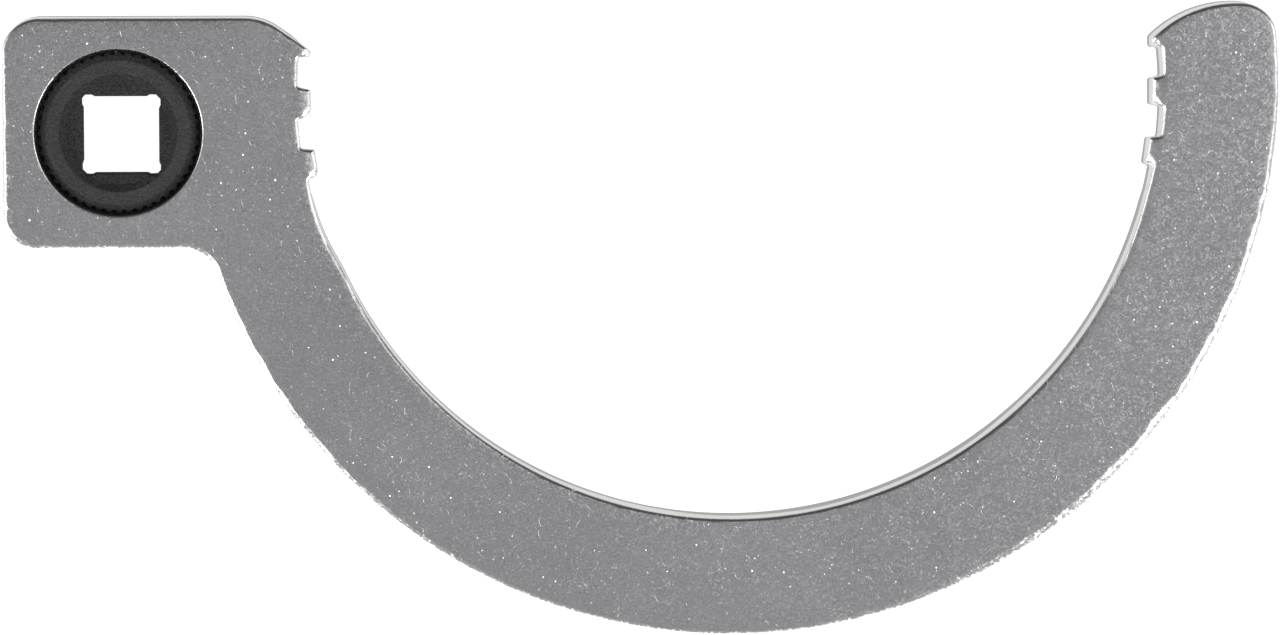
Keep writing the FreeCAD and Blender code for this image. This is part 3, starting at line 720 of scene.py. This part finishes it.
def plated_steel():
    """Blasted, zinc-plated steel: cloudy grey, fine grain, specks of painted glint and short scratches.
    """
    nodes = Nodes("plated_steel")
    normal = nodes.add("ShaderNodeNewGeometry").outputs["Normal"]
    split = nodes.add("ShaderNodeSeparateXYZ")
    nodes.join(normal, split.inputs[0])
    up = nodes.math("ABSOLUTE", split.outputs["Z"])

    # How much a place is flat face, upright wall, or the rolled edge between them. Rolled edges
    # that face -Y are ragged.
    face = nodes.span(up, 0.88, 0.98)
    wall = nodes.span(up, 0.04, 0.16, 1.0, 0.0)
    roll = nodes.math("SUBTRACT", 1.0, nodes.math("MAXIMUM", face, wall))
    ragged = nodes.math("MULTIPLY", roll, nodes.span(split.outputs["Y"], -0.5, 0.0, 0.3, 0.0))

    height = nodes.add("ShaderNodeSeparateXYZ")
    nodes.join(nodes.position, height.inputs[0])
    level = nodes.math("DIVIDE", height.outputs["Z"], MM)

    # Flecks of painted glint: a few bright ones, more of them in some areas, and many faint ones.
    busy = nodes.span(nodes.noise(7, 2, 0.6), 0.35, 0.7, 0.006, 0.03)
    speck_glint, speck_lean = flecks(nodes, SPECK_SIZE, busy)
    faint_glint, faint_lean = flecks(nodes, FAINT_SIZE, nodes.math("MULTIPLY", busy, 8.0))

    # Short curved scratches: thin lines of equal height in a coarse noise, in places.
    curl = nodes.math("ABSOLUTE", nodes.math("SUBTRACT", nodes.noise(SCRATCH_SIZE, 1, 0.4), 0.5))
    line = nodes.span(curl, 0.0, 0.012, 1.0, 0.0)
    places = nodes.span(nodes.noise(1.7, 1, 0.5, nodes.shifted), 0.56, 0.62)
    scratch = nodes.math("MULTIPLY", line, places)

    clouds = nodes.span(nodes.noise(16, 3, 0.6), 0.3, 0.7, -0.05, 0.05)
    patches = nodes.span(nodes.noise(3.5, 3, 0.6), 0.3, 0.7, -0.03, 0.03)
    grain_noise = nodes.noise(GRAIN_SIZE, 3, 0.75)
    grain = nodes.span(grain_noise, 0.3, 0.7, -0.2, 0.2)
    tone = nodes.math("ADD", nodes.math("ADD", clouds, patches), nodes.math("ADD", grain, 0.46))
    # The flecks are painted glints and the scratches are bright marks, both lightened into the colour.
    glint_and_scratch = nodes.math("MAXIMUM", speck_glint, scratch)
    glint_and_scratch = nodes.math("MAXIMUM", glint_and_scratch, nodes.math("MULTIPLY", faint_glint, 0.4))
    tone = nodes.math("ADD", tone, nodes.math("MULTIPLY", glint_and_scratch, 0.5), clamp=True)
    colour = nodes.mix(tone, FACE_DARK, FACE_PALE)

    # The sheared wall is bright next to the front face and torn and duller towards the back, where the
    # dullness is partly torn metal and partly painted shade where the wall meets the table.
    torn_and_shaded_edge = nodes.span(nodes.noise(TORN_AND_SHADED_WAVE, 1, 0.5), 0.3, 0.7, 1.6, 4.2)
    torn_and_shaded = nodes.span(nodes.math("SUBTRACT", torn_and_shaded_edge, level), -0.15, 0.15)
    wall_colour = nodes.mix(torn_and_shaded, WALL_SHEARED, WALL_TORN_AND_SHADED)

    # The rolled edges are bright, with painted shade where they face +Y and where they are steepest.
    upward_shade = nodes.span(split.outputs["Y"], 0.0, 0.35)
    roll_colour = nodes.mix(upward_shade, ROLL_BRIGHT, ROLL_UPWARD_SHADE)
    steep_shade = nodes.span(up, 0.25, 0.5, 1.0, 0.0)
    roll_colour = nodes.mix(steep_shade, roll_colour, ROLL_STEEP_SHADE)
    colour = nodes.mix(face, nodes.mix(wall, roll_colour, wall_colour), colour)
    nodes.join(colour, nodes.shader.inputs["Base Color"])
    nodes.shader.inputs["Metallic"].default_value = 1.0
    face_rough = nodes.span(grain_noise, 0.3, 0.7, 0.34, 0.46)
    face_rough = nodes.math("SUBTRACT", face_rough, nodes.math("MULTIPLY", glint_and_scratch, 0.2))
    wall_rough = nodes.math("MULTIPLY", wall, nodes.span(torn_and_shaded, 0, 1, 0.12, 0.24))
    edge_rough = nodes.math("ADD", 0.2, wall_rough)
    face_part = nodes.math("MULTIPLY", face, face_rough)
    edge_part = nodes.math("MULTIPLY", nodes.math("SUBTRACT", 1.0, face), edge_rough)
    nodes.join(nodes.math("ADD", face_part, edge_part), nodes.shader.inputs["Roughness"])

    leaned = lean_cells(nodes, normal, 0.17, nodes.math("MULTIPLY", face, 0.22))
    leaned = lean_cells(nodes, leaned, 0.5, nodes.math("MULTIPLY", face, 0.12))
    leaned = lean_cells(nodes, leaned, 0.3, ragged)
    for fleck, lean, amount in ((speck_glint, speck_lean, 1.1), (faint_glint, faint_lean, 0.6)):
        amount = nodes.math("MULTIPLY", nodes.math("MULTIPLY", fleck, face), amount)
        leaned = nodes.vector("ADD", leaned, nodes.vector("SCALE", lean, amount))
    leaned = nodes.vector("NORMALIZE", leaned)
    height_map = nodes.math("ADD", nodes.noise(0.6, 4, 0.7), nodes.math("MULTIPLY", scratch, 0.6))
    relief = nodes.bump(height_map, 0.5, 0.06, leaned)
    nodes.join(relief, nodes.shader.inputs["Normal"])
    return nodes.material


def black_steel():
    """Black oxide on turned steel: dark, faintly speckled, with fine turning lines on the ends."""
    nodes = Nodes("black_steel")
    axis = (DRIVE_AXIS.x * MM, DRIVE_AXIS.y * MM, 0)
    offset = nodes.vector("SUBTRACT", nodes.position, axis)
    flat = nodes.vector("MULTIPLY", offset, (1, 1, 0))
    reach = nodes.vector("LENGTH", flat)
    lines = nodes.add("ShaderNodeTexNoise", noise_dimensions="1D")
    nodes.join(reach, lines.inputs["W"])
    lines.inputs["Scale"].default_value = 1 / (0.12 * MM)
    lines.inputs["Detail"].default_value = 2
    grain = nodes.noise(0.25, 2, 0.6)
    clouds = nodes.noise(3, 2, 0.5)
    tone = nodes.math("MULTIPLY", nodes.span(grain, 0.32, 0.72), nodes.span(clouds, 0.3, 0.7, 0.8, 1.2))

    # The flat ring between the countersink and the lead-in is drawn a little paler than both.
    inner = nodes.span(reach, (SINK_RADIUS - 0.05) * MM, SINK_RADIUS * MM)
    outer = nodes.span(reach, LEAD_RADIUS * MM, (LEAD_RADIUS + 0.05) * MM, 1.0, 0.0)
    ring = nodes.math("MULTIPLY", inner, outer)
    tone = nodes.math("ADD", nodes.math("MULTIPLY", tone, 0.8), nodes.math("MULTIPLY", ring, 0.3))
    colour = nodes.mix(tone, INSERT_DARK, INSERT_PALE)
    nodes.join(colour, nodes.shader.inputs["Base Color"])
    nodes.shader.inputs["Metallic"].default_value = 0.0
    split = nodes.add("ShaderNodeSeparateXYZ")
    nodes.join(nodes.add("ShaderNodeNewGeometry").outputs["Normal"], split.inputs[0])
    end = nodes.span(nodes.math("ABSOLUTE", split.outputs["Z"]), 0.2, 0.6)
    end_rough = nodes.span(grain, 0.3, 0.7, 0.42, 0.6)
    rough = nodes.math("ADD", 0.9, nodes.math("MULTIPLY", end, nodes.math("SUBTRACT", end_rough, 0.9)))
    nodes.join(rough, nodes.shader.inputs["Roughness"])
    # Without this the socket's walls mirror the white table at a grazing angle.
    nodes.shader.inputs["Specular IOR Level"].default_value = 0.0
    relief = nodes.bump(lines.outputs["Fac"], 0.35, 0.01)
    relief = nodes.bump(grain, 0.4, 0.02, relief)
    nodes.join(relief, nodes.shader.inputs["Normal"])
    return nodes.material


def white_table():
    """The pale floor, a table that glows a little from below."""
    nodes = Nodes("white_table")
    nodes.shader.inputs["Base Color"].default_value = TABLE_PALE
    nodes.shader.inputs["Roughness"].default_value = 0.8
    nodes.shader.inputs["Emission Color"].default_value = (1, 1, 1, 1)
    nodes.shader.inputs["Emission Strength"].default_value = 0.95
    return nodes.material


# ---------------------------------------------------------------- stage

# Each light: its place and size in metres, and its brightness; white paper's is one.
LIGHTS = {
    "right_box": ((1.2, -0.7, 0.75), (0.8, 0.7), 3.4),
    "left_box": ((-1.25, -0.6, 0.7), (0.9, 0.8), 3.6),
    "far_right_box": ((1.4, 0.25, 0.6), (0.6, 0.5), 2.2),
    "far_left_box": ((-1.4, 0.25, 0.5), (0.6, 0.4), 2.2),
    "top_right_box": ((0.65, 0.3, 1.0), (0.6, 0.6), 1.6),
}
WORLD_GREY = 0.38
TABLE_HALF = 4.0
TABLE_GAP = 0.2  # how far the table lies below the wrench, in mm
CAMERA_PLACE = (-45.7, 47.9, 741.4)
CAMERA_TARGET = (-11.5, -27.4, PLATE_TOP)
CAMERA_LENS = 169.5

def make_floor():
    half = TABLE_HALF
    mesh = bpy.data.meshes.new("floor")
    corners = [(-half, -half, 0), (half, -half, 0), (half, half, 0), (-half, half, 0)]
    mesh.from_pydata(corners, [], [(0, 1, 2, 3)])
    floor = bpy.data.objects.new("floor", mesh)
    floor.location.z = cad_low.z - TABLE_GAP * MM
    floor.data.materials.append(white_table())
    bpy.context.scene.collection.objects.link(floor)


def make_light(name, place, size, brightness):
    """A soft box that faces the wrench."""
    data = bpy.data.lights.new(name, "AREA")
    data.shape = "RECTANGLE"
    data.size, data.size_y = size
    data.energy = brightness * math.pi * size[0] * size[1]
    light = bpy.data.objects.new(name, data)
    light.location = place
    light.rotation_euler = (-Vector(place)).to_track_quat("-Z", "Y").to_euler()
    light.visible_camera = False
    bpy.context.scene.collection.objects.link(light)


def make_flag():
    """A black card beyond the open side of the jaws, which darkens the edges that face it."""
    mesh = bpy.data.meshes.new("flag")
    corners = [(-0.9, 0.35, 1.3), (0.9, 0.35, 1.3), (0.9, 1.1, 0.25), (-0.9, 1.1, 0.25)]
    mesh.from_pydata(corners, [], [(0, 1, 2, 3)])
    flag = bpy.data.objects.new("flag", mesh)
    material = bpy.data.materials.new("black_card")
    material.use_nodes = True
    shader = material.node_tree.nodes["Principled BSDF"]
    shader.inputs["Base Color"].default_value = CARD_BLACK
    shader.inputs["Roughness"].default_value = 0.9
    mesh.materials.append(material)
    flag.visible_camera = False
    bpy.context.scene.collection.objects.link(flag)


def make_world(grey):
    world = bpy.data.worlds.new("world")
    world.use_nodes = True
    world.node_tree.nodes["Background"].inputs["Color"].default_value = (grey, grey, grey, 1)
    bpy.context.scene.world = world


def make_camera():
    """A long lens above the upper left, looking at the middle of the wrench."""
    data = bpy.data.cameras.new("camera")
    data.sensor_width = 36
    data.lens = CAMERA_LENS
    camera = bpy.data.objects.new("camera", data)
    place = Vector(CAMERA_PLACE) * MM
    target = Vector(CAMERA_TARGET) * MM
    forward = (target - place).normalized()
    right = forward.cross(Vector((0, 1, 0))).normalized()
    up = right.cross(forward)
    rotation = Matrix((right, up, -forward)).transposed()
    camera.matrix_world = Matrix.Translation(place) @ rotation.to_4x4()
    bpy.context.scene.collection.objects.link(camera)
    bpy.context.scene.camera = camera


def main():
    plate = make_plate()
    plate.data.materials.append(plated_steel())
    insert = make_insert()
    insert.data.materials.append(black_steel())

    make_floor()
    for name, (place, size, brightness) in LIGHTS.items():
        make_light(name, place, size, brightness)
    make_flag()
    make_world(WORLD_GREY)
    make_camera()
    bpy.context.scene.view_settings.view_transform = "Standard"


main()
